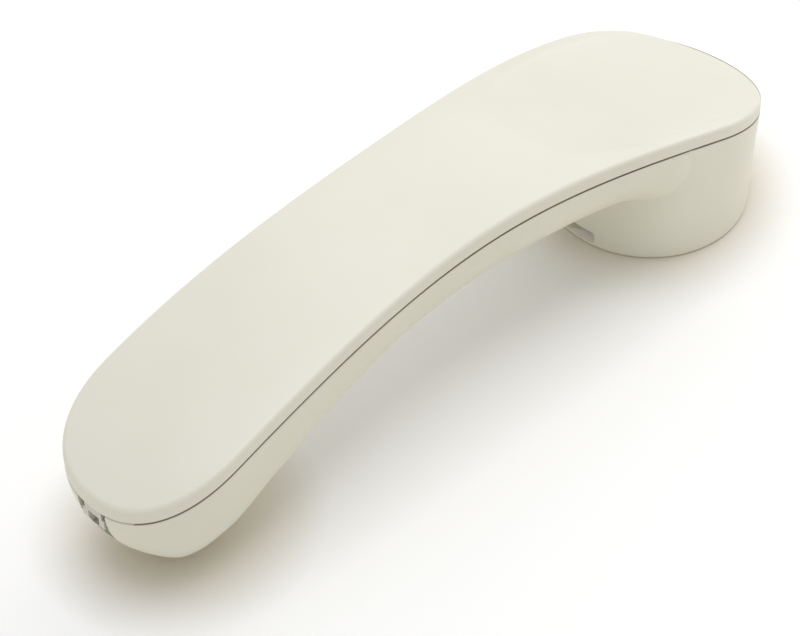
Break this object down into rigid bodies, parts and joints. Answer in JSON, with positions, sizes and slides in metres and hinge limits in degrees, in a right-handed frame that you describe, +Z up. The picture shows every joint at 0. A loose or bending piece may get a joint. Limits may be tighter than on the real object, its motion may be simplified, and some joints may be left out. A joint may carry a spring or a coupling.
{
  "type": "corded telephone handset",
  "caption": "Slimline corded telephone handset: two curved screwed covers, round ear cup with hook pocket, rounded mouth end with modular cord socket, receiver, microphone and ballast inside.",
  "frame": {"origin": "on the table under the middle of the handset's length and width, the handset lying face down", "axes": "+X along the handset toward the ear end, +Y across it, +Z up toward the back cover"},
  "size_m": [0.21, 0.0506, 0.052],
  "materials": {
    "cover_plastic": "smooth moulded gloss",
    "socket_plastic": "moulded, slightly glossy",
    "contact_metal": "gold-flashed spring wire",
    "tinned_metal": "tinned",
    "screw_steel": "zinc plated",
    "black_plastic": "moulded, matte",
    "boot_rubber": "soft matte rubber",
    "foam": "soft foam",
    "black_cloth": "fine woven cloth",
    "mic_can": "drawn, satin",
    "receiver_plate": "pressed, satin",
    "fibre_board": "pressed fibre",
    "film": "thin clear film",
    "copper": "enamelled copper winding",
    "magnet": "nickel-grey magnet",
    "motor_steel": "plated pressed steel",
    "suppressor_blue": "dipped coating",
    "ballast_steel": "mill-finished steel",
    "insulation_black": "flexible insulation",
    "insulation_yellow": "flexible insulation",
    "insulation_red": "flexible insulation",
    "insulation_green": "flexible insulation"
  },
  "bodies": {
    "handset": {"back_cover": "cover_plastic", "front_cover": "cover_plastic", "cover_screws": "screw_steel", "cord_socket_housing": "socket_plastic", "cord_socket_carrier": "black_plastic", "cord_socket_tails": "tinned_metal", "microphone_capsule": "mic_can", "microphone_boot": "boot_rubber", "microphone_cloth": "black_cloth", "receiver_gasket": "foam", "receiver_cloth": "black_cloth", "receiver_front_plate": "receiver_plate", "receiver_spacer_ring": "fibre_board", "receiver_diaphragm": "film", "receiver_basket": "black_plastic", "receiver_pole_plate": "motor_steel", "receiver_magnet": "magnet", "receiver_yoke": "motor_steel", "receiver_terminal_board": "fibre_board", "receiver_lugs": "tinned_metal", "click_suppressor": "suppressor_blue", "receiver_clamp": "socket_plastic", "receiver_clamp_screws": "screw_steel", "ballast_bar": "ballast_steel", "ballast_pad": "foam", "lead_black": "insulation_black", "lead_yellow": "insulation_yellow", "lead_red": "insulation_red", "lead_green": "insulation_green"},
    "voice_coil": {"receiver_voice_coil": "copper"},
    "cord_contacts": {"cord_socket_contacts": "contact_metal"}
  },
  "joints": [
    {"name": "voice_coil_travel", "type": "slide", "parent": "handset", "child": "voice_coil", "axis": [0, 0, 1], "range_m": [-0.0003, 0.0003], "stiffness_N_per_m": 200, "deforming": ["receiver_diaphragm"]},
    {"name": "cord_contact_flex", "type": "hinge", "parent": "handset", "child": "cord_contacts", "pos_m": [-0.0924, 0, 0.01558], "axis": [0, -1, 0], "range_deg": [0, 4], "stiffness_Nm_per_rad": 0.02}
  ]
}
